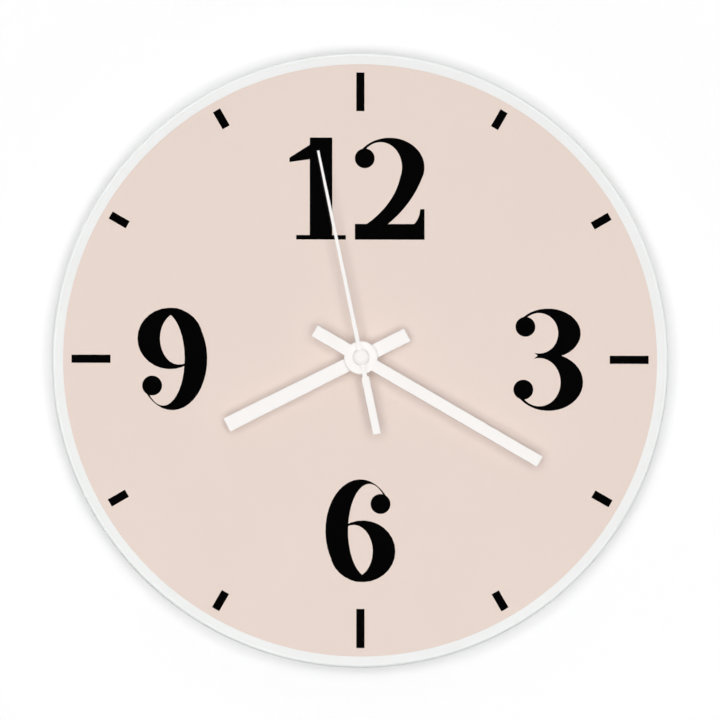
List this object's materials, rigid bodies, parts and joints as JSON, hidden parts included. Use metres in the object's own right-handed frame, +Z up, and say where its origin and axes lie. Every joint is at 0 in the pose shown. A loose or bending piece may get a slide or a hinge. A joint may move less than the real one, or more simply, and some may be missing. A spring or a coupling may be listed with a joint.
{
  "type": "wall clock",
  "caption": "Round wall clock with a back-printed glass dial, flat white hands and a battery quartz movement that hangs on a wall hook.",
  "frame": {"origin": "point of the wall plane behind the hands' axis, on the back of the movement", "axes": "+Z up, +X to the right as seen from the front, +Y into the wall; the dial faces -Y"},
  "size_m": [0.3, 0.0328, 0.3],
  "materials": {
    "glass": "clear polished float glass with ground edges",
    "dial_ink": "pale pink screen-printed ink behind glass",
    "black_ink": "black screen-printed ink behind glass",
    "white_ink": "white backing ink",
    "white_lacquer": "white lacquer over stamped sheet",
    "black_rubber": "matte black rubber",
    "brass": "bright turned brass",
    "case_plastic": "fine-textured black moulded plastic",
    "bridge_plastic": "natural white moulded plastic",
    "wheel_plastic": "natural acetal",
    "knob_plastic": "ribbed black moulded plastic",
    "steel": "nickel-plated steel",
    "motor_iron": "soft iron sheet",
    "magnet": "dark sintered magnet",
    "copper_wire": "enamelled copper wire, wound",
    "circuit_laminate": "green coated laminate",
    "black_resin": "drop of black resin",
    "cell_sleeve": null
  },
  "bodies": {
    "clock": {"glass_disc": "glass", "dial_print": "dial_ink", "hour_marks": "black_ink", "dial_numerals": "black_ink", "white_backing": "white_ink", "rubber_gasket": "black_rubber", "threaded_bushing": "brass", "front_washer": "brass", "hex_nut": "brass", "movement_case": "case_plastic", "hanging_eye": "case_plastic", "back_cover": "case_plastic", "bridge_plate": "bridge_plastic", "stator": "motor_iron", "coil_core": "motor_iron", "coil_bobbin": "bridge_plastic", "coil_winding": "copper_wire", "circuit_board": "circuit_laminate", "quartz_crystal": "steel", "driver_chip": "black_resin", "positive_contact": "steel", "negative_contact": "steel"},
    "minute": {"minute_hand": "white_lacquer", "minute_arbor": "wheel_plastic"},
    "hour": {"hour_hand": "white_lacquer", "hour_wheel": "wheel_plastic"},
    "motion": {"motion_wheel": "wheel_plastic"},
    "setting": {"setting_stem": "wheel_plastic", "setting_knob": "knob_plastic"},
    "second": {"second_hand": "white_lacquer", "second_hand_cap": "white_lacquer", "second_arbor": "steel", "second_wheel": "wheel_plastic"},
    "centre": {"centre_wheel": "wheel_plastic"},
    "third": {"third_arbor": "steel", "third_wheel": "wheel_plastic"},
    "fifth": {"fifth_arbor": "steel", "fifth_wheel": "wheel_plastic"},
    "rotor": {"rotor_pinion": "wheel_plastic", "rotor_magnet": "magnet"},
    "battery": {"battery_cell": "cell_sleeve", "battery_button": "steel"}
  },
  "joints": [
    {"name": "minute_hand_turn", "type": "hinge", "parent": "clock", "child": "minute", "pos_m": [0, -0.008, 0], "axis": [0, 1, 0], "continuous": true},
    {"name": "hour_hand_turn", "type": "hinge", "parent": "clock", "child": "hour", "pos_m": [0, -0.008, 0], "axis": [0, 1, 0], "continuous": true},
    {"name": "motion_wheel_turn", "type": "hinge", "parent": "clock", "child": "motion", "pos_m": [0.0096, -0.008, 0], "axis": [0, 1, 0], "continuous": true},
    {"name": "setting_knob_turn", "type": "hinge", "parent": "clock", "child": "setting", "pos_m": [0.0192, -0.008, 0], "axis": [0, 1, 0], "continuous": true},
    {"name": "second_hand_turn", "type": "hinge", "parent": "clock", "child": "second", "pos_m": [0, -0.008, 0], "axis": [0, 1, 0], "continuous": true},
    {"name": "centre_wheel_turn", "type": "hinge", "parent": "clock", "child": "centre", "pos_m": [0, -0.008, 0], "axis": [0, 1, 0], "continuous": true},
    {"name": "third_wheel_turn", "type": "hinge", "parent": "clock", "child": "third", "pos_m": [0, -0.008, 0.01063], "axis": [0, 1, 0], "continuous": true},
    {"name": "fifth_wheel_turn", "type": "hinge", "parent": "clock", "child": "fifth", "pos_m": [-0.00921, -0.008, 0.00335], "axis": [0, 1, 0], "continuous": true},
    {"name": "rotor_turn", "type": "hinge", "parent": "clock", "child": "rotor", "pos_m": [-0.015, -0.008, 0.00812], "axis": [0, 1, 0], "continuous": true},
    {"name": "battery_slide", "type": "slide", "parent": "clock", "child": "battery", "axis": [0, 1, 0], "range_m": [0, 0.03]}
  ],
  "couplings": [
    {"joint": "hour_hand_turn", "follows": "minute_hand_turn", "ratio": 0.083333},
    {"joint": "motion_wheel_turn", "follows": "minute_hand_turn", "ratio": -0.33333},
    {"joint": "setting_knob_turn", "follows": "minute_hand_turn", "ratio": 1},
    {"joint": "third_wheel_turn", "follows": "second_hand_turn", "ratio": -0.13333},
    {"joint": "centre_wheel_turn", "follows": "second_hand_turn", "ratio": 0.016667},
    {"joint": "fifth_wheel_turn", "follows": "second_hand_turn", "ratio": -6},
    {"joint": "rotor_turn", "follows": "second_hand_turn", "ratio": 30}
  ]
}
